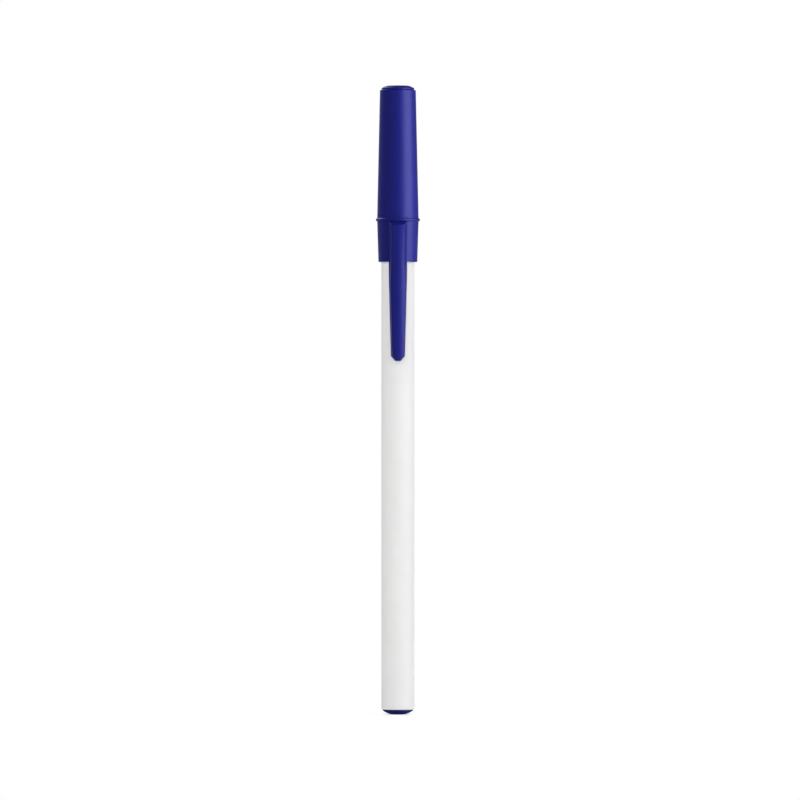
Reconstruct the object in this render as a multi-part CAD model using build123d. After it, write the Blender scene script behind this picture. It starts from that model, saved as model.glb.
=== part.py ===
import os
from math import sqrt

from build123d import *

# Stick ballpoint pen, capped and standing on its end plug. Millimetres.
# Z runs up the axis from the end plug's flat, and the clip is on the -Y side.

# General
overrun = 5.0
press_gap = 0.02

# Barrel
barrel_radius = 3.93
barrel_wall = 0.95
barrel_length = 116.85
barrel_low_round = 0.25
barrel_top_round = 0.08

# End plug
plug_head_step = 0.33
plug_head_height = 1.15
plug_rim_height = 0.25
plug_flat_radius = 1.65
plug_dome_bulge = 0.1
plug_spigot_length = 6.0
plug_spigot_wall = 0.9
plug_lead = 0.3

# Nose section
flange_step = 0.085
flange_height = 1.03
flange_round = 0.06
flare_width = 0.625
flare_height = 1.02
flare_hollow = 0.155
taper_fall = 0.59
taper_height = 8.69
nose_round = 0.14
nose_spigot_length = 9.0
nose_lead = 0.3
ink_passage_radius = 0.8
tube_socket_depth = 8.0

# Writing point
shank_radius = 1.5
shank_length = 5.5
collar_step = 0.34
collar_height = 1.3
collar_round = 0.06
lower_cone_height = 5.28
lower_cone_top_radius = 0.94
upper_cone_height = 2.44
lip_wall = 0.1
point_channel_radius = 0.4
feed_hole_radius = 0.2
feed_hole_length = 0.8

# Ball
ball_radius = 0.4
ball_gap = 0.02
ball_lip_share = 0.5

# Refill
tube_radius = 1.55
tube_wall = 0.55
tube_tail_gap = 4.85
ink_tail_gap = 13.0

# Cap
cap_overlap = 11.67
cap_tip_room = 9.24
cap_top_wall = 2.0
cap_running_gap = 0.06
cap_seat_gap = 0.12
cap_seat_width = 0.4
cap_bore_draft = 0.19
cap_mouth_wall = 0.63
cap_bead_wall = 0.93
cap_high_wall = 0.86
cap_mouth_round = 0.15
bead_above_mouth = 9.97
bead_radius = 0.3
bead_stand = 0.3
ledge_round = 0.08
disc_step = 0.39
disc_neck_step = 0.2
disc_side_height = 0.31
disc_round_width = 1.32
disc_round_height = 0.72
disc_round_bulge = 0.07

# Clip
clip_stand = 1.81
clip_crown_radius = 3.5
clip_arm_length = 23.53
clip_below_bead = 0.28
clip_slope_height = 1.11
clip_bury = 0.5
clip_gap_at_mouth = 0.21
clip_gap_at_tip = 0.485
clip_root_width = 5.1
clip_tip_width = 3.74
clip_side_draft = 0.62
clip_corner_width = 0.91
clip_corner_height = 1.15
clip_toe_depth = 0.64
clip_toe_height = 1.05
clip_edge_round = 0.18

# Heights along the axis
barrel_low = plug_head_height
barrel_top = barrel_low + barrel_length
plug_top = barrel_low + plug_spigot_length
nose_low = barrel_top - nose_spigot_length
flange_top = barrel_top + flange_height
taper_low = flange_top + flare_height
nose_top = taper_low + taper_height
shank_low = nose_top - shank_length
collar_top = nose_top + collar_height
cone_step = collar_top + lower_cone_height
lip_top = cone_step + upper_cone_height
ball_height = lip_top - ball_radius * ball_lip_share
tube_low = plug_top + tube_tail_gap
tube_top = nose_low + tube_socket_depth
cap_mouth = flange_top - cap_overlap
cap_ceiling = ball_height + ball_radius + cap_tip_room
cap_top = cap_ceiling + cap_top_wall
bead_height = cap_mouth + bead_above_mouth
clip_low = cap_mouth - clip_arm_length
clip_high = bead_height - clip_below_bead

# Distances from the axis
bore_radius = barrel_radius - barrel_wall
spigot_radius = bore_radius - press_gap
plug_head_radius = barrel_radius - plug_head_step
flange_radius = barrel_radius - flange_step
taper_low_radius = flange_radius - flare_width
taper_top_radius = taper_low_radius - taper_fall
collar_radius = taper_top_radius - collar_step
seat_radius = ball_radius + ball_gap
cap_bore_radius = barrel_radius + cap_running_gap
cap_nose_bore_radius = cap_bore_radius - cap_seat_width
cap_high_bore_radius = cap_nose_bore_radius - cap_bore_draft
cap_mouth_radius = cap_bore_radius + cap_mouth_wall
cap_bead_radius = cap_bore_radius + cap_bead_wall
clip_reach = cap_mouth_radius + clip_stand
clip_base = cap_bore_radius - clip_bury


def edge_at(solid, radius, height):
    """The circular edge nearest to a radius and a height."""
    rings = solid.edges().filter_by(GeomType.CIRCLE)
    return min(rings, key=lambda e: abs(e.radius - radius) + abs(e.arc_center.Z - height))


def turned(*lines):
    """A solid turned about the pen's axis from joined lines of radius and height."""
    return revolve(Plane.XZ * make_face(Curve() + list(lines)), Axis.Z)


def tube(outer, inner, low, high):
    """A plain tube on the axis."""
    return turned(Polyline((inner, low), (outer, low), (outer, high), (inner, high), close=True))


def rod(radius, low, high):
    """A plain rod on the axis."""
    return turned(Polyline((0, low), (radius, low), (radius, high), (0, high), close=True))


def make_barrel():
    solid = tube(barrel_radius, bore_radius, barrel_low, barrel_top)
    solid = fillet(edge_at(solid, barrel_radius, barrel_low), barrel_low_round)
    return fillet(edge_at(solid, barrel_radius, barrel_top), barrel_top_round)


def make_end_plug():
    """A domed head with a short rim under the barrel's end, and a hollow spigot pressed into the bore."""
    hollow_radius = spigot_radius - plug_spigot_wall
    rim_low = barrel_low - plug_rim_height
    dome = SagittaArc((plug_flat_radius, 0), (plug_head_radius, rim_low), -plug_dome_bulge)
    rest = Polyline(
        (plug_head_radius, rim_low),
        (plug_head_radius, barrel_low),
        (spigot_radius, barrel_low),
        (spigot_radius, plug_top),
        (hollow_radius, plug_top),
        (hollow_radius, barrel_low),
        (0, barrel_low),
        (0, 0),
        (plug_flat_radius, 0),
    )
    solid = turned(dome, rest)
    return chamfer(edge_at(solid, spigot_radius, plug_top), plug_lead)


def make_nose_section():
    """A flanged taper on a spigot, bored for the refill at the back and the point at the front."""
    rest = Polyline(
        (taper_low_radius, taper_low),
        (taper_top_radius, nose_top),
        (0, nose_top),
        (0, nose_low),
        (spigot_radius, nose_low),
        (spigot_radius, barrel_top),
        (flange_radius, barrel_top),
        (flange_radius, flange_top),
    )
    flare = SagittaArc((flange_radius, flange_top), (taper_low_radius, taper_low), flare_hollow)
    solid = turned(rest, flare)
    solid = fillet(edge_at(solid, taper_top_radius, nose_top), nose_round)
    solid = fillet(edge_at(solid, flange_radius, barrel_top), flange_round)
    solid = chamfer(edge_at(solid, spigot_radius, nose_low), nose_lead)
    solid -= rod(tube_radius + press_gap, nose_low - overrun, tube_top)
    solid -= rod(ink_passage_radius, nose_low, nose_top)
    return solid - rod(shank_radius + press_gap, shank_low, nose_top + overrun)


def make_writing_point():
    """A turned point with two cones, a shank, an ink channel and a crimped seat for the ball."""
    feed_low = ball_height - seat_radius - feed_hole_length
    mouth_radius = sqrt(seat_radius**2 - (lip_top - ball_height) ** 2)
    outline = Polyline(
        (0, shank_low),
        (shank_radius, shank_low),
        (shank_radius, nose_top),
        (collar_radius, nose_top),
        (collar_radius, collar_top),
        (lower_cone_top_radius, cone_step),
        (mouth_radius + lip_wall, lip_top),
        (0, lip_top),
        close=True,
    )
    solid = turned(outline)
    solid = fillet(edge_at(solid, collar_radius, collar_top), collar_round)
    solid -= rod(point_channel_radius, shank_low - overrun, feed_low)
    solid -= rod(feed_hole_radius, shank_low, ball_height)
    return solid - Pos(0, 0, ball_height) * Sphere(seat_radius)


def make_ball():
    return Pos(0, 0, ball_height) * Sphere(ball_radius)


def make_refill_tube():
    return tube(tube_radius, tube_radius - tube_wall, tube_low, tube_top)


def make_ink_column():
    return rod(tube_radius - tube_wall - press_gap, tube_low + ink_tail_gap, tube_top)


def clip_outline(reach, inset):
    """The clip's front outline, drawn in from each side, at a distance from the axis."""
    half_root = clip_root_width / 2 - inset
    half_tip = clip_tip_width / 2 - inset
    corner_high = clip_low + clip_corner_height
    front = Polyline(
        (half_root, clip_high),
        (half_tip, corner_high),
        (half_tip - clip_corner_width, clip_low),
        (clip_corner_width - half_tip, clip_low),
        (-half_tip, corner_high),
        (-half_root, clip_high),
        close=True,
    )
    return Pos(0, -reach, 0) * (Plane.XZ * make_face(front))


def make_clip():
    """The whole clip, from its slope under the bead to its tip, before it is parted at the mouth."""
    inner_at_mouth = barrel_radius + clip_gap_at_mouth
    inner_at_tip = barrel_radius + clip_gap_at_tip
    blade = loft([clip_outline(clip_base, 0), clip_outline(clip_reach, clip_side_draft)], ruled=True)
    side = Polyline(
        (-clip_reach, clip_low),
        (-clip_reach, clip_high - clip_slope_height),
        (-cap_bead_radius, clip_high),
        (-clip_base, clip_high),
        (-clip_base, cap_mouth),
        (-inner_at_mouth, cap_mouth),
        (-inner_at_tip, clip_low + clip_toe_height),
        (-inner_at_tip - clip_toe_depth, clip_low),
        close=True,
    )
    crown = Pos(0, clip_crown_radius - clip_reach, 0) * rod(clip_crown_radius, clip_low, clip_high)
    solid = blade & crown & extrude(Plane.YZ * make_face(side), clip_root_width, both=True)
    outer_edges = solid.edges().filter_by(lambda e: e.center().Y < -cap_bead_radius)
    return fillet(outer_edges.sort_by(SortBy.LENGTH)[-2:], clip_edge_round)


def above_mouth():
    """A block that holds everything above the level of the cap's mouth."""
    side = 2 * (clip_reach + overrun)
    block = Box(side, side, cap_top - cap_mouth, align=(Align.CENTER, Align.CENTER, Align.MIN))
    return Pos(0, 0, cap_mouth) * block


def make_cap_shell(clip):
    """The cap with its disc top, bead and collar, the clip's root, and a bore that seats on the flange."""
    disc_side_top = cap_top - disc_round_height
    ledge = disc_side_top - disc_side_height
    high_radius = cap_high_bore_radius + cap_high_wall
    disc_radius = high_radius - disc_step
    flat_radius = disc_radius - disc_round_width
    corner = SagittaArc((flat_radius, cap_top), (disc_radius, disc_side_top), disc_round_bulge)
    rest = Polyline(
        (disc_radius, disc_side_top),
        (disc_radius - disc_neck_step, ledge),
        (high_radius, ledge),
        (cap_bead_radius, bead_height),
        (cap_mouth_radius, cap_mouth),
        (0, cap_mouth),
        (0, cap_top),
        (flat_radius, cap_top),
    )
    solid = turned(corner, rest)
    solid = fillet(edge_at(solid, high_radius, ledge), ledge_round)
    solid = fillet(edge_at(solid, cap_mouth_radius, cap_mouth), cap_mouth_round)
    solid += Pos(0, 0, bead_height) * Torus(cap_bead_radius + bead_stand - bead_radius, bead_radius)
    solid += clip & above_mouth()
    seat_low = flange_top + cap_seat_gap - (cap_bore_radius - flange_radius)
    bore = Polyline(
        (0, cap_mouth - overrun),
        (cap_bore_radius, cap_mouth - overrun),
        (cap_bore_radius, seat_low),
        (cap_nose_bore_radius, seat_low + cap_seat_width),
        (cap_high_bore_radius, cap_ceiling),
        (0, cap_ceiling),
        close=True,
    )
    return solid - turned(bore)


def make_pocket_clip(clip):
    """The free arm of the clip, below the cap's mouth."""
    return clip - above_mouth()


clip = make_clip()
os.makedirs("parts", exist_ok=True)
export_step(make_barrel(), "parts/barrel.step")
export_step(make_end_plug(), "parts/end_plug.step")
export_step(make_nose_section(), "parts/nose_section.step")
export_step(make_writing_point(), "parts/writing_point.step")
export_step(make_ball(), "parts/ball.step")
export_step(make_refill_tube(), "parts/refill_tube.step")
export_step(make_ink_column(), "parts/ink_column.step")
export_step(make_cap_shell(clip), "parts/cap_shell.step")
export_step(make_pocket_clip(clip), "parts/pocket_clip.step")
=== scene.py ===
import math

import bmesh
import bpy
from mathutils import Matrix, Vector


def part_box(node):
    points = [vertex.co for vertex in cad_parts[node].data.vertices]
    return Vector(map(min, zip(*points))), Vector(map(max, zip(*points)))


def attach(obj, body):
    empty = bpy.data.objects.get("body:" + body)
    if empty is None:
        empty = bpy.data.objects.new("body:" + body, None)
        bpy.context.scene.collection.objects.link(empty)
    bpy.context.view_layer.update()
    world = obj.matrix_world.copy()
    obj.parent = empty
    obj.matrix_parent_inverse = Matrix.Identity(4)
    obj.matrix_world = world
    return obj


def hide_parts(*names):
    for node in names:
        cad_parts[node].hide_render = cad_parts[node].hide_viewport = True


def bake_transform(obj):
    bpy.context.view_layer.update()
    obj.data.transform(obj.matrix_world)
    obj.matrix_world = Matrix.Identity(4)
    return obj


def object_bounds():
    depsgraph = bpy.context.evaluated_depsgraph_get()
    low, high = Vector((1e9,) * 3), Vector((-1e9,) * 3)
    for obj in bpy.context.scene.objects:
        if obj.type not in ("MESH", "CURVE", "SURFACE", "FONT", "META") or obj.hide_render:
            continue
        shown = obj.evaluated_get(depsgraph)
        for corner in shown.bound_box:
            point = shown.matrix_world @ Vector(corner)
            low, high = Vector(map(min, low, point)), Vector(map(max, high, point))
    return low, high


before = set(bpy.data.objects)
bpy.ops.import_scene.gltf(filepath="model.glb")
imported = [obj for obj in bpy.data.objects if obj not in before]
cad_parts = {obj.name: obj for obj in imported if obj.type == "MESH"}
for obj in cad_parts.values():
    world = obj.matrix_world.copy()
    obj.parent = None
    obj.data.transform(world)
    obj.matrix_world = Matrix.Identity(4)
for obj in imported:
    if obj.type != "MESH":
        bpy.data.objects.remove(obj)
cad_low, cad_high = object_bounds()

# Stick ballpoint pen, capped and standing on its end plug. Sizes are in millimetres and
# become metres when a mesh is made. Z runs up the axis, and the clip is on the -Y side.

MM = 0.001

# Mesh fineness
segments = 160
round_steps = 5
bow_steps = 12
edge_support = 0.06
shortest_divided = 0.18
longest_stretch = 4.0
height_digits = 3
sharp_angle = 35


def box_mm(node):
    """Lowest and highest corner of a CAD node in millimetres."""
    low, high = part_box(node)
    return low / MM, high / MM


# Heights and radii that come from the CAD parts
barrel_box = box_mm("barrel")
plug_box = box_mm("end_plug")
nose_box = box_mm("nose_section")
point_box = box_mm("writing_point")
ball_box = box_mm("ball")
cap_box = box_mm("cap_shell")
clip_box = box_mm("pocket_clip")
barrel_low, barrel_top = barrel_box[0].z, barrel_box[1].z
barrel_radius = barrel_box[1].x
plug_low, plug_top = plug_box[0].z, plug_box[1].z
nose_low, nose_top = nose_box[0].z, nose_box[1].z
flange_radius = nose_box[1].x
shank_low, lip_top = point_box[0].z, point_box[1].z
collar_radius = point_box[1].x
ball_height = (ball_box[0].z + ball_box[1].z) / 2
ball_radius = (ball_box[1].z - ball_box[0].z) / 2
cap_mouth, cap_top = cap_box[0].z, cap_box[1].z
bead_reach = cap_box[1].x
clip_low = clip_box[0].z
clip_reach = -clip_box[0].y

# Barrel
barrel_wall = 0.95
barrel_low_round = 0.25
barrel_top_round = 0.08
bore_round = 0.1
bore_radius = barrel_radius - barrel_wall

# End plug
press_gap = 0.02
spigot_radius = bore_radius - press_gap
plug_head_step = 0.33
plug_head_radius = barrel_radius - plug_head_step
plug_rim_height = 0.25
plug_flat_radius = 1.65
plug_dome_bulge = 0.1
plug_rim_round = 0.06
plug_spigot_wall = 0.9
spigot_lead = 0.3

# Nose section
flange_height = 1.03
flange_round = 0.06
flare_width = 0.625
flare_height = 1.02
flare_hollow = 0.155
taper_fall = 0.59
nose_round = 0.14
tube_socket_radius = 1.57
tube_socket_depth = 8.0
ink_passage_radius = 0.8
flange_top = barrel_top + flange_height
taper_low = flange_top + flare_height
taper_low_radius = flange_radius - flare_width
taper_top_radius = taper_low_radius - taper_fall

# Writing point
shank_radius = 1.5
collar_height = 1.3
collar_round = 0.06
collar_foot_round = 0.04
lower_cone_height = 5.28
lower_cone_top_radius = 0.94
cone_step_round = 0.15
lip_wall = 0.1
lip_round = 0.04
channel_radius = 0.4
feed_hole_radius = 0.2
feed_hole_length = 0.8
ball_gap = 0.02
collar_top = nose_top + collar_height
cone_step = collar_top + lower_cone_height

# Cap
cap_running_gap = 0.06
cap_mouth_wall = 0.63
cap_bead_wall = 0.93
cap_high_wall = 0.86
cap_top_wall = 2.0
cap_seat_gap = 0.12
cap_seat_width = 0.4
cap_bore_draft = 0.19
cap_mouth_round = 0.15
cap_bore_round = 0.08
cap_ceiling_round = 0.3
bead_above_mouth = 9.97
bead_rise = 0.39
bead_drop = 0.28
bead_top_round = 0.24
bead_low_round = 0.08
bead_foot_round = 0.05
ledge_round = 0.04
ledge_foot_round = 0.05
disc_step = 0.39
disc_groove_depth = 0.14
disc_groove_height = 0.22
disc_groove_slope = 0.02
disc_foot_width = 0.22
disc_side_height = 0.28
disc_side_round = 0.03
disc_round_width = 1.32
disc_round_height = 0.58
disc_round_bulge = 0.05
cap_bore_radius = barrel_radius + cap_running_gap
cap_nose_bore_radius = cap_bore_radius - cap_seat_width
cap_high_bore_radius = cap_nose_bore_radius - cap_bore_draft
cap_mouth_radius = cap_bore_radius + cap_mouth_wall
cap_bead_radius = cap_bore_radius + cap_bead_wall
cap_high_radius = cap_high_bore_radius + cap_high_wall
cap_ceiling = cap_top - cap_top_wall
seat_low = flange_top + cap_seat_gap - (cap_bore_radius - flange_radius)
bead_height = cap_mouth + bead_above_mouth
disc_side_top = cap_top - disc_round_height
disc_side_low = disc_side_top - disc_side_height
ledge_height = disc_side_low - disc_groove_height
disc_radius = cap_high_radius - disc_step
disc_flat_radius = disc_radius - disc_round_width

# Clip
clip_below_bead = 0.28
clip_slope_height = 0.96
clip_slope_sink = 0.22
clip_crown_radius = 3.5
clip_root_crown_radius = 5.5
clip_bury = 0.5
clip_gap_at_mouth = 0.21
clip_gap_at_tip = 0.485
clip_root_width = 5.8
clip_mouth_width = 4.92
clip_tip_width = 3.82
clip_side_draft = 0.69
clip_mouth_draft = 1.07
clip_root_draft = 1.47
clip_draft_change = 5.0
clip_corner_width = 0.85
clip_corner_height = 1.15
clip_toe_depth = 0.64
clip_toe_height = 1.05
clip_edge_round = 0.18
clip_inner_round = 0.1
clip_end_round = 0.12
clip_bend_ease = 0.12
clip_ease_shares = (-1, -0.5, 0, 0.5, 1)
clip_bend_steps = 3
clip_bend_sections = 6
clip_station_step = 1.2
clip_slope_steps = 24
clip_face_pieces = 6
clip_root_blend = 0.24
clip_root_depth = 0.25
clip_high = bead_height - clip_below_bead
clip_slope_low = clip_high - clip_slope_height
clip_base = cap_bore_radius - clip_bury
clip_corner_high = clip_low + clip_corner_height
clip_toe_high = clip_low + clip_toe_height
clip_root_radius = cap_bore_radius + clip_root_depth


# Outlines


def bowed(start, end, bow):
    """Corners along a shallow curve from start to end, bow away from the straight line halfway."""
    first, last = Vector(start), Vector(end)
    side = Vector((last.y - first.y, first.x - last.x)).normalized()
    handle = (first + last) / 2 + side * 2 * bow
    corners = []
    for step in range(bow_steps + 1):
        share = step / bow_steps
        point = first.lerp(handle, share).lerp(handle.lerp(last, share), share)
        corners.append((point.x, point.y, 0))
    return corners


def ring_arc(centre, radius, first_angle, last_angle):
    """Corners along a circular arc about a (radius, height) centre, between two angles in degrees."""
    corners = []
    for step in range(bow_steps + 1):
        angle = math.radians(first_angle + (last_angle - first_angle) * step / bow_steps)
        corners.append((centre[0] + radius * math.cos(angle), centre[1] + radius * math.sin(angle), 0))
    return corners


def corner_arc(before, corner, after, radius):
    """Points of the arc that rounds a corner between its two neighbours."""
    to_before = (before - corner).normalized()
    to_after = (after - corner).normalized()
    half_angle = to_before.angle(to_after) / 2
    reach = radius / math.tan(half_angle)
    centre = corner + (to_before + to_after).normalized() * (radius / math.sin(half_angle))
    first = (corner + to_before * reach - centre).normalized()
    last = (corner + to_after * reach - centre).normalized()
    return [centre + first.slerp(last, step / round_steps) * radius for step in range(round_steps + 1)]


def rounded(corners):
    """The points of an outline whose corners are (across, along, round)."""
    points = []
    for index, (across, up, rounding) in enumerate(corners):
        corner = Vector((across, up))
        if rounding:
            before = Vector(corners[index - 1][:2])
            after = Vector(corners[(index + 1) % len(corners)][:2])
            points += corner_arc(before, corner, after, rounding)
        else:
            points.append(corner)
    return points


def between(start, end, pieces):
    """Points on a stretch, close to its ends and at even steps between."""
    margin = min(edge_support / (end - start).length, 1 / (pieces + 2))
    return [start.lerp(end, margin + (1 - 2 * margin) * step / pieces) for step in range(pieces + 1)]


def divided(points, closed):
    """The same outline with points added on its long stretches."""
    result = []
    ends = points[1:] + points[:1] if closed else points[1:]
    for start, end in zip(points, ends):
        result.append(start)
        length = (end - start).length
        if length > shortest_divided:
            result += between(start, end, math.ceil(length / longest_stretch))
    return result if closed else result + points[-1:]


# Meshes


def make_piece(name, mesh):
    """A smooth-shaded object in the scene from a bmesh in millimetres."""
    bmesh.ops.recalc_face_normals(mesh, faces=mesh.faces)
    bmesh.ops.scale(mesh, vec=(MM, MM, MM), verts=mesh.verts)
    data = bpy.data.meshes.new(name)
    mesh.to_mesh(data)
    mesh.free()
    data.polygons.foreach_set("use_smooth", [True] * len(data.polygons))
    data.set_sharp_from_angle(angle=math.radians(sharp_angle))
    piece = bpy.data.objects.new(name, data)
    bpy.context.scene.collection.objects.link(piece)
    return piece


def add_skin(mesh, rings, closed):
    """Faces between neighbouring rings of vertices, where a ring may repeat one vertex."""
    uppers = rings[1:] + rings[:1] if closed else rings[1:]
    for lower, upper in zip(rings, uppers):
        for index in range(len(lower)):
            corners = [lower[index - 1], lower[index], upper[index], upper[index - 1]]
            mesh.faces.new(list(dict.fromkeys(corners)))


def add_ring(mesh, radius, height):
    """A level ring of vertices about the axis, or one vertex on it."""
    if radius == 0:
        return [mesh.verts.new((0, 0, height))] * segments
    turn = 2 * math.pi / segments
    return [
        mesh.verts.new((radius * math.cos(turn * k), radius * math.sin(turn * k), height))
        for k in range(segments)
    ]


def lathe(name, corners, closed=True):
    """A piece turned about the pen's axis from (radius, height, round) corners."""
    mesh = bmesh.new()
    outline = divided(rounded(corners), closed)
    add_skin(mesh, [add_ring(mesh, point.x, point.y) for point in outline], closed)
    return make_piece(name, mesh)


def make_barrel():
    """The plain tube."""
    return lathe("pen_barrel", [
        (bore_radius, barrel_low, bore_round),
        (barrel_radius, barrel_low, barrel_low_round),
        (barrel_radius, barrel_top, barrel_top_round),
        (bore_radius, barrel_top, bore_round),
    ])


def make_end_plug():
    """The domed head and its hollow spigot."""
    hollow_radius = spigot_radius - plug_spigot_wall
    dome_top = barrel_low - plug_rim_height
    dome = bowed((plug_flat_radius, plug_low), (plug_head_radius, dome_top), plug_dome_bulge)
    return lathe("pen_end_plug", [
        (0, plug_low, 0),
        *dome,
        (plug_head_radius, barrel_low, plug_rim_round),
        (spigot_radius, barrel_low, 0),
        (spigot_radius, plug_top - spigot_lead, 0),
        (spigot_radius - spigot_lead, plug_top, 0),
        (hollow_radius, plug_top, 0),
        (hollow_radius, barrel_low, 0),
        (0, barrel_low, 0),
    ], closed=False)


def make_nose():
    """The flange, hollow flare and taper, with the spigot and bores behind them."""
    socket_top = nose_low + tube_socket_depth
    point_bore_radius = shank_radius + press_gap
    flare = bowed((taper_low_radius, taper_low), (flange_radius, flange_top), -flare_hollow)
    return lathe("pen_nose", [
        (point_bore_radius, shank_low, 0),
        (point_bore_radius, nose_top, 0),
        (taper_top_radius, nose_top, nose_round),
        *flare,
        (flange_radius, barrel_top, flange_round),
        (spigot_radius, barrel_top, 0),
        (spigot_radius, nose_low + spigot_lead, 0),
        (spigot_radius - spigot_lead, nose_low, 0),
        (tube_socket_radius, nose_low, 0),
        (tube_socket_radius, socket_top, 0),
        (ink_passage_radius, socket_top, 0),
        (ink_passage_radius, shank_low, 0),
    ])


def make_point():
    """The turned point: shank, collar, two cones and the lip that holds the ball."""
    seat_radius = ball_radius + ball_gap
    mouth_angle = math.degrees(math.asin((lip_top - ball_height) / seat_radius))
    feed_angle = -math.degrees(math.acos(feed_hole_radius / seat_radius))
    seat = ring_arc((0, ball_height), seat_radius, mouth_angle, feed_angle)
    feed_low = ball_height - seat_radius - feed_hole_length
    return lathe("pen_point", [
        (channel_radius, shank_low, 0),
        (shank_radius, shank_low, 0),
        (shank_radius, nose_top, 0),
        (collar_radius, nose_top, collar_foot_round),
        (collar_radius, collar_top, collar_round),
        (lower_cone_top_radius, cone_step, cone_step_round),
        (seat[0][0] + lip_wall, lip_top, lip_round),
        *seat,
        (feed_hole_radius, feed_low, 0),
        (channel_radius, feed_low, 0),
    ])


def make_ball():
    """The ball, closed at its poles by one vertex each."""
    outline = ring_arc((0, ball_height), ball_radius, -90, 90)
    outline[0] = (0, ball_height - ball_radius, 0)
    outline[-1] = (0, ball_height + ball_radius, 0)
    return lathe("pen_ball", outline, closed=False)


def make_cap():
    """The cap's stepped top, bead and collar outside, and its bore with the seat inside."""
    bead_top = bead_height + bead_rise
    bead_foot = bead_height - bead_drop
    disc_corner = bowed((disc_flat_radius, cap_top), (disc_radius, disc_side_top), -disc_round_bulge)
    return lathe("pen_cap", [
        (0, cap_top, 0),
        *disc_corner,
        (disc_radius, disc_side_low, disc_side_round),
        (disc_radius - disc_groove_depth, disc_side_low - disc_groove_slope, 0),
        (disc_radius + disc_foot_width, ledge_height, ledge_foot_round),
        (cap_high_radius, ledge_height, ledge_round),
        (cap_bead_radius, bead_top, bead_foot_round),
        (bead_reach, bead_top, bead_top_round),
        (bead_reach, bead_foot, bead_low_round),
        (cap_bead_radius, bead_foot, bead_foot_round),
        (cap_mouth_radius, cap_mouth, cap_mouth_round),
        (cap_bore_radius, cap_mouth, cap_bore_round),
        (cap_bore_radius, seat_low, 0),
        (cap_nose_bore_radius, seat_low + cap_seat_width, 0),
        (cap_high_bore_radius, cap_ceiling, cap_ceiling_round),
        (0, cap_ceiling, 0),
    ], closed=False)


# Clip


def along(height, stops):
    """The value at a height on straight lines through rising (height, value) stops."""
    for (low, first), (high, last) in zip(stops, stops[1:]):
        if height <= high:
            return first + (last - first) * max(0, (height - low) / (high - low))
    return stops[-1][1]


def softened(shape, height):
    """A shape's value at a height, with its bends eased."""
    values = [shape(height + clip_bend_ease * share) for share in clip_ease_shares]
    return sum(values) / len(values)


def clip_half_width(height, reach):
    """Half the clip's width at a height and a distance from the axis."""
    stops = [
        (clip_low, clip_tip_width / 2 - clip_corner_width),
        (clip_corner_high, clip_tip_width / 2),
        (cap_mouth, clip_mouth_width / 2),
        (clip_high, clip_root_width / 2),
    ]
    drafts = [
        (cap_mouth - clip_draft_change, clip_side_draft),
        (cap_mouth, clip_mouth_draft),
        (clip_slope_low, clip_root_draft),
    ]
    base_half = softened(lambda level: along(level, stops), height)
    draft = along(height, drafts)
    return base_half - draft * (reach - clip_base) / (clip_reach - clip_base)


def clip_back(height):
    """How far the clip's flat back stands from the axis."""
    stops = [
        (clip_low, barrel_radius + clip_gap_at_tip + clip_toe_depth),
        (clip_toe_high, barrel_radius + clip_gap_at_tip),
        (cap_mouth, barrel_radius + clip_gap_at_mouth),
    ]
    return softened(lambda level: along(level, stops), height)


def clip_front(height, across):
    """How far the clip's rounded front stands from the axis, at a distance from its middle."""
    slope = [(clip_slope_low, clip_reach), (clip_high, cap_bead_radius - clip_slope_sink)]
    crowns = [(cap_mouth, clip_crown_radius), (clip_slope_low, clip_root_crown_radius)]
    crown_radius = along(height, crowns)
    crown = clip_reach - crown_radius + math.sqrt(crown_radius**2 - across**2)
    return softened(lambda level: min(crown, along(level, slope)), height)


def clip_outline(corners):
    """Rounded corners with points added on the stretch after each, as many at every height."""
    outline = rounded(corners)
    points = []
    for index, start in enumerate(outline):
        points.append(start)
        if index % (round_steps + 1) == round_steps:
            points += between(start, outline[(index + 1) % len(outline)], clip_face_pieces)
    return points


def clip_section(height, inset):
    """The clip's outline at a height, as (x, y) points, drawn in all round by inset."""
    back = clip_back(height) + inset
    edge_reach = clip_front(height, clip_half_width(height, clip_reach))
    back_half = clip_half_width(height, back) - inset
    edge_half = clip_half_width(height, edge_reach) - inset
    corners = [
        (back_half, back, clip_inner_round),
        (edge_half, edge_reach, clip_edge_round),
        (-edge_half, edge_reach, clip_edge_round),
        (-back_half, back, clip_inner_round),
    ]
    root_share = min(1, max(0, (height - cap_mouth) / clip_root_blend))
    section = []
    for point in clip_outline(corners):
        wall = math.sqrt(clip_root_radius**2 - point.x**2)
        base = back + (wall - back) * root_share
        depth = (point.y - back) / (edge_reach - back)
        front = clip_front(height, point.x) - inset
        section.append((point.x, -(base + (front - base) * depth)))
    return section


def tip_stations():
    """(height, inset) of the sections that round the clip's tip."""
    stations = []
    for step in range(round_steps):
        angle = math.pi / 2 * step / round_steps
        rise = clip_end_round * (1 - math.cos(angle))
        stations.append((clip_low + rise, clip_end_round * (1 - math.sin(angle))))
    return stations


def clip_heights():
    """Heights of the sections above the rounded tip, closer together at the bends and on the slope."""
    heights = {clip_high}
    for bend in (clip_toe_high, clip_corner_high, cap_mouth, clip_slope_low):
        for step in range(-clip_bend_sections, clip_bend_sections + 1):
            heights.add(bend + clip_bend_ease * step / clip_bend_steps)
    for step in range(clip_slope_steps):
        heights.add(clip_high - clip_slope_height * step / clip_slope_steps)
    count = math.ceil((clip_high - clip_low) / clip_station_step)
    for step in range(count):
        heights.add(clip_low + (clip_high - clip_low) * step / count)
    lowest = clip_low + clip_end_round
    return sorted({round(height, height_digits) for height in heights if lowest <= height <= clip_high})


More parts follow.
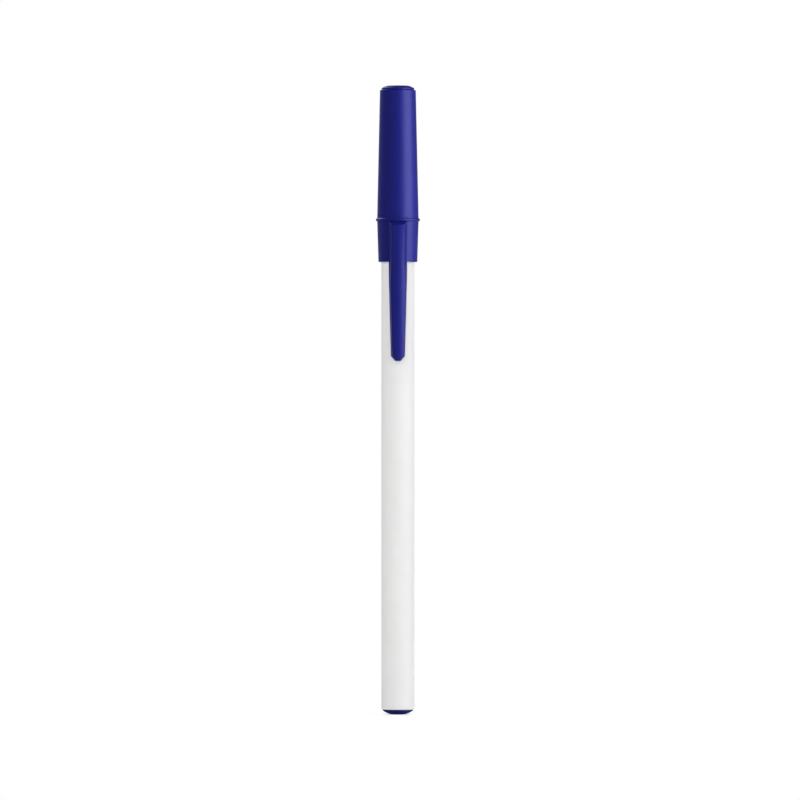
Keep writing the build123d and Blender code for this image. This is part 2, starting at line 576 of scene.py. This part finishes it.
def make_clip():
    """The whole clip, from its tip to the slope under the bead, with its root sunk in the collar."""
    mesh = bmesh.new()
    rings = []
    for height, inset in tip_stations() + [(height, 0) for height in clip_heights()]:
        rings.append([mesh.verts.new((x, y, height)) for x, y in clip_section(height, inset)])
    add_skin(mesh, rings, closed=False)
    mesh.faces.new(rings[0])
    mesh.faces.new(rings[-1])
    return make_piece("pen_clip", mesh)


# Materials

# Each pair of colours, as linear red, green and blue, is the range of one material's mottling.
blue_dark = (0.003, 0.0045, 0.103)
blue_light = (0.004, 0.0055, 0.119)
white_dark = (0.85, 0.85, 0.845)
white_light = (0.875, 0.875, 0.87)
brass_dull = (0.68, 0.49, 0.2)
brass_bright = (0.8, 0.61, 0.29)
metal_bare = (0.42, 0.42, 0.44)
metal_inked = (0.02, 0.03, 0.16)
clear_dark = (0.86, 0.88, 0.88)
clear_light = (0.93, 0.94, 0.94)
ink_dark = (0.004, 0.006, 0.05)
ink_light = (0.008, 0.010, 0.09)

# The tint of what the blue plastic mirrors
blue_shine = (0.09, 0.1, 1, 1)

# Most of a noise lies between these two values.
noise_low = 0.3
noise_high = 0.7

# The ball is bare where its film's noise is under the first value, and inked over the second.
film_thin = 0.45
film_thick = 0.62


class Look:
    """A material whose Principled shader is fed by noise in the pen's own coordinates."""

    def __init__(self, name):
        self.material = bpy.data.materials.new(name)
        self.material.use_nodes = True
        self.nodes = self.material.node_tree.nodes
        self.links = self.material.node_tree.links
        self.shader = self.nodes["Principled BSDF"]
        self.place = self.nodes.new("ShaderNodeTexCoord").outputs["Object"]

    def set(self, **values):
        """Fixed values on the shader's own sockets, with spaces written as underscores."""
        for name, value in values.items():
            self.shader.inputs[name.replace("_", " ")].default_value = value

    def stretched(self, scale):
        """The pen's coordinates scaled per axis."""
        mapping = self.nodes.new("ShaderNodeMapping")
        mapping.inputs["Scale"].default_value = scale
        self.links.new(self.place, mapping.inputs["Vector"])
        return mapping.outputs["Vector"]

    def noise(self, size, detail=2.0, place=None):
        """Noise whose features are about size millimetres across."""
        node = self.nodes.new("ShaderNodeTexNoise")
        node.inputs["Scale"].default_value = 1 / (size * MM)
        node.inputs["Detail"].default_value = detail
        self.links.new(place or self.place, node.inputs["Vector"])
        return node.outputs["Fac"]

    def colour(self, value, first, last, start=noise_low, end=noise_high):
        """A colour that goes from first to last while a value goes from start to end."""
        node = self.nodes.new("ShaderNodeValToRGB")
        for element, position, tone in zip(node.color_ramp.elements, (start, end), (first, last)):
            element.position = position
            element.color = (*tone, 1)
        self.links.new(value, node.inputs["Fac"])
        return node.outputs["Color"]

    def level(self, value, first, last, start=noise_low, end=noise_high):
        """A number that goes from first to last while a value goes from start to end."""
        node = self.nodes.new("ShaderNodeMapRange")
        node.inputs["From Min"].default_value = start
        node.inputs["From Max"].default_value = end
        node.inputs["To Min"].default_value = first
        node.inputs["To Max"].default_value = last
        self.links.new(value, node.inputs["Value"])
        return node.outputs["Result"]

    def bump(self, value, depth, strength):
        """A surface normal raised by a value to a depth in millimetres."""
        node = self.nodes.new("ShaderNodeBump")
        node.inputs["Strength"].default_value = strength
        node.inputs["Distance"].default_value = depth * MM
        self.links.new(value, node.inputs["Height"])
        return node.outputs["Normal"]

    def feed(self, **sources):
        """Links from nodes to the shader's sockets."""
        for name, source in sources.items():
            self.links.new(source, self.shader.inputs[name.replace("_", " ")])


def make_blue_plastic():
    """Satin moulded plastic with a fine spark-eroded grain and faint handling marks."""
    look = Look("blue_plastic")
    look.set(IOR=1.95, Specular_IOR_Level=1.0, Specular_Tint=blue_shine)
    look.set(Coat_Weight=0.44, Coat_IOR=1.5, Coat_Roughness=0.38)
    clouds = look.noise(size=5.0, detail=3.0)
    look.feed(Base_Color=look.colour(clouds, blue_dark, blue_light))
    handling = look.noise(size=1.6, detail=4.0, place=look.stretched((1, 1, 0.25)))
    look.feed(Roughness=look.level(handling, first=0.68, last=0.76))
    grain = look.bump(look.noise(size=0.12), depth=0.004, strength=0.5)
    look.feed(Normal=grain, Coat_Normal=grain)
    return look.material


def make_white_plastic():
    """Opaque white tube with faint lengthwise drawing streaks."""
    look = Look("white_plastic")
    look.set(IOR=1.5, Specular_IOR_Level=0.1)
    look.set(Subsurface_Weight=0.3, Subsurface_Radius=(1, 1, 1), Subsurface_Scale=0.8 * MM)
    clouds = look.noise(size=6.0, detail=3.0)
    look.feed(Base_Color=look.colour(clouds, white_dark, white_light))
    streaks = look.noise(size=0.35, detail=3.0, place=look.stretched((1, 1, 0.01)))
    look.feed(Roughness=look.level(streaks, first=0.30, last=0.42))
    look.feed(Normal=look.bump(streaks, depth=0.004, strength=0.4))
    return look.material


def make_brass():
    """Turned brass with fine rings left by the tool and a few dull patches."""
    look = Look("brass")
    look.set(Metallic=1.0)
    rings = look.noise(size=0.09, place=look.stretched((0.02, 0.02, 1)))
    patches = look.noise(size=0.9, detail=3.0)
    look.feed(Base_Color=look.colour(patches, brass_dull, brass_bright, start=0.35))
    look.feed(Roughness=look.level(rings, first=0.36, last=0.5))
    look.feed(Normal=look.bump(rings, depth=0.006, strength=0.6))
    return look.material


def make_hard_metal():
    """The polished grey ball under a thin, uneven film of ink."""
    look = Look("hard_metal")
    film = look.noise(size=0.25, detail=3.0)
    look.feed(Base_Color=look.colour(film, metal_bare, metal_inked, film_thin, film_thick))
    look.feed(Metallic=look.level(film, 1.0, 0.2, film_thin, film_thick))
    look.feed(Roughness=look.level(film, first=0.14, last=0.3))
    return look.material


def make_clear_plastic():
    """Clear drawn tube with faint streaks."""
    look = Look("clear_plastic")
    look.set(IOR=1.5, Transmission_Weight=0.9)
    streaks = look.noise(size=0.3, place=look.stretched((1, 1, 0.02)))
    look.feed(Base_Color=look.colour(streaks, clear_dark, clear_light))
    look.feed(Roughness=look.level(streaks, first=0.08, last=0.2))
    return look.material


def make_ink():
    """Thick blue paste."""
    look = Look("ink")
    clouds = look.noise(size=1.2, detail=3.0)
    look.feed(Base_Color=look.colour(clouds, ink_dark, ink_light))
    look.feed(Roughness=look.level(clouds, first=0.1, last=0.25))
    return look.material


# Studio

# The room's light falls off towards the zenith, and what mirrors the backdrop is white. Both are
# set by the height or the depth of a direction, from 0 to 1.
room_level = 0.12
room_top = 0.2
zenith_level = 0.02
zenith_low = 0.7
backdrop_edge = 0.82
backdrop_middle = 0.99

# Lamps, with places and sizes in metres and turns in degrees to the camera's right
fill_size = 0.9
fill_rise = 0.15
left_power = 4.95
left_turn = -45
right_power = 6.45
right_turn = 62
back_power = 5.5
back_turn = 180
side_distance = 0.75
top_power = 1.5
top_distance = 0.9
sheen_power = 10.6
sheen_turn = 62
sheen_width = 0.75
sheen_height = 1.0
rim_power = 4.0
rim_offset = Vector((-0.42, 0.62, 0.52))
rim_width = 0.35
rim_height = 0.35

# Floor, in metres, with its matt tone, what the camera sees added near the pen, and its level in
# reflections in front of the pen. Both levels reach white at the far distance.
floor_radius = 1.0
floor_segments = 96
floor_tone = 0.92
floor_near = 0.03
floor_far = 0.3
floor_top_up = 0.36
floor_mirrored = 0.09

# Camera, with its view in millimetres at the pen
frame_width = 189.9
frame_centre_x = 0.503
frame_centre_z = 74.6
lens_length = 400
sensor_width = 36


class Wiring:
    """The nodes of the world or the floor, which depend on how a ray came to it."""

    def __init__(self, owner):
        owner.use_nodes = True
        self.nodes = owner.node_tree.nodes
        self.links = owner.node_tree.links
        path = self.add("ShaderNodeLightPath")
        self.looked_at = path["Is Camera Ray"]
        self.mirrored = self.math("MAXIMUM", path["Is Glossy Ray"], path["Is Transmission Ray"])

    def add(self, kind, *inputs, **settings):
        """The outputs of a new node, whose inputs in their order are sockets or plain values."""
        node = self.nodes.new(kind)
        for name, value in settings.items():
            setattr(node, name, value)
        for socket, source in zip(node.inputs, inputs):
            if isinstance(source, bpy.types.NodeSocket):
                self.links.new(source, socket)
            else:
                socket.default_value = source
        return node.outputs

    def math(self, operation, *inputs):
        """The result of a sum on sockets or numbers."""
        return self.add("ShaderNodeMath", *inputs, operation=operation)["Value"]

    def fade(self, value, first, last):
        """A smooth step from one (value, level) pair to another."""
        spans = (first[0], last[0], first[1], last[1])
        return self.add("ShaderNodeMapRange", value, *spans, interpolation_type="SMOOTHSTEP")["Result"]

    def light(self, strength):
        """White light of a strength."""
        return self.add("ShaderNodeEmission", (1, 1, 1, 1), strength)["Emission"]


def make_world():
    """White to the camera and in what mirrors the backdrop, and a dim room elsewhere."""
    world = bpy.data.worlds.new("studio")
    bpy.context.scene.world = world
    wiring = Wiring(world)
    direction = wiring.add("ShaderNodeSeparateXYZ", wiring.add("ShaderNodeTexCoord")["Generated"])
    room = wiring.fade(direction["Z"], (room_top, room_level), (zenith_low, zenith_level))
    backdrop = wiring.fade(direction["Y"], (backdrop_edge, 0), (backdrop_middle, 1))
    white = wiring.math("MAXIMUM", wiring.looked_at, wiring.math("MULTIPLY", wiring.mirrored, backdrop))
    background = wiring.nodes["Background"]
    background.inputs["Color"].default_value = (1, 1, 1, 1)
    wiring.links.new(wiring.math("MAXIMUM", room, white), background.inputs["Strength"])


def make_floor_material():
    """A pale matt sheet that looks white except in the pen's shadow."""
    material = bpy.data.materials.new("floor")
    wiring = Wiring(material)
    material.cycles.emission_sampling = "NONE"
    wiring.nodes.remove(wiring.nodes["Principled BSDF"])
    place = wiring.add("ShaderNodeTexCoord")["Object"]
    distance = wiring.add("ShaderNodeVectorMath", place, operation="LENGTH")["Value"]
    top_up = wiring.fade(distance, (floor_near, floor_top_up), (floor_far, 1))
    covered = wiring.fade(distance, (floor_near, 0), (floor_far, floor_tone))
    tone = wiring.math("SUBTRACT", floor_tone, wiring.math("MULTIPLY", wiring.looked_at, covered))
    matt = wiring.add("ShaderNodeBsdfDiffuse", tone)["BSDF"]
    added = wiring.light(wiring.math("MULTIPLY", wiring.looked_at, top_up))
    plain = wiring.add("ShaderNodeAddShader", matt, added)["Shader"]
    depth = wiring.add("ShaderNodeSeparateXYZ", place)["Y"]
    reflection = wiring.light(wiring.fade(depth, (0, floor_mirrored), (floor_far, 1)))
    choice = wiring.add("ShaderNodeMixShader", wiring.mirrored, plain, reflection)["Shader"]
    wiring.links.new(choice, wiring.nodes["Material Output"].inputs["Surface"])
    return material


def make_floor():
    """A round sheet under the pen."""
    mesh = bmesh.new()
    bmesh.ops.create_circle(mesh, cap_ends=True, segments=floor_segments, radius=floor_radius)
    data = bpy.data.meshes.new("floor")
    mesh.to_mesh(data)
    mesh.free()
    floor = bpy.data.objects.new("floor", data)
    bpy.context.scene.collection.objects.link(floor)
    floor.location.z = cad_low.z
    data.materials.append(make_floor_material())


def add_softbox(name, power, offset, width, height, sheen=False):
    """A soft rectangular lamp at an offset from the pen's middle, for matt shading or for sheen."""
    data = bpy.data.lights.new(name, "AREA")
    data.shape = "RECTANGLE"
    data.size, data.size_y = width, height
    data.energy = power
    lamp = bpy.data.objects.new(name, data)
    bpy.context.scene.collection.objects.link(lamp)
    lamp.location = Vector((0, 0, (cad_low.z + cad_high.z) / 2)) + offset
    lamp.rotation_euler = (-offset).to_track_quat("-Z", "Y").to_euler()
    lamp.visible_camera = False
    lamp.visible_glossy = sheen
    lamp.visible_diffuse = not sheen


def round_the_pen(turn, rise):
    """A place beside the pen, turned to the camera's right by an angle in degrees."""
    angle = math.radians(turn)
    return Vector((math.sin(angle) * side_distance, -math.cos(angle) * side_distance, rise))


def make_lamps():
    """Four soft fills, a tall sheen on the right and a rim light behind on the left."""
    add_softbox("left_fill", left_power, round_the_pen(left_turn, fill_rise), fill_size, fill_size)
    add_softbox("right_fill", right_power, round_the_pen(right_turn, fill_rise), fill_size, fill_size)
    add_softbox("back_fill", back_power, round_the_pen(back_turn, fill_rise), fill_size, fill_size)
    add_softbox("top_fill", top_power, Vector((0, 0, top_distance)), fill_size, fill_size)
    sheen_offset = round_the_pen(sheen_turn, 0)
    add_softbox("sheen", sheen_power, sheen_offset, sheen_width, sheen_height, sheen=True)
    add_softbox("rim", rim_power, rim_offset, rim_width, rim_height, sheen=True)


def make_camera():
    """A long lens, level with the pen, that frames it as the photograph does."""
    data = bpy.data.cameras.new("camera")
    data.lens = lens_length
    data.sensor_width = sensor_width
    camera = bpy.data.objects.new("camera", data)
    bpy.context.scene.collection.objects.link(camera)
    distance = frame_width * lens_length / sensor_width
    camera.location = Vector((frame_centre_x, -distance, frame_centre_z)) * MM
    camera.rotation_euler = (math.pi / 2, 0, 0)
    bpy.context.scene.camera = camera


# Assembly


def fit(piece, body, node, material):
    """Gives a piece its material, in place of a CAD node, and puts it on its body where one is named."""
    piece.data.materials.append(material)
    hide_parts(node)
    if body:
        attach(piece, body)


def finish_cad_node(node, material):
    """A better material for a CAD node that stays."""
    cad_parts[node].data.materials.clear()
    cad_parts[node].data.materials.append(material)


blue_plastic = make_blue_plastic()
white_plastic = make_white_plastic()
fit(make_barrel(), "pen", "barrel", white_plastic)
fit(make_end_plug(), "pen", "end_plug", blue_plastic)
fit(make_nose(), "pen", "nose_section", blue_plastic)
fit(make_point(), "pen", "writing_point", make_brass())
fit(make_ball(), "ball", "ball", make_hard_metal())
fit(make_cap(), "cap", "cap_shell", blue_plastic)
clip = make_clip()
fit(clip, None, "pocket_clip", blue_plastic)
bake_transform(clip)
finish_cad_node("refill_tube", make_clear_plastic())
finish_cad_node("ink_column", make_ink())

bpy.context.scene.view_settings.view_transform = "Standard"
make_world()
make_floor()
make_lamps()
make_camera()
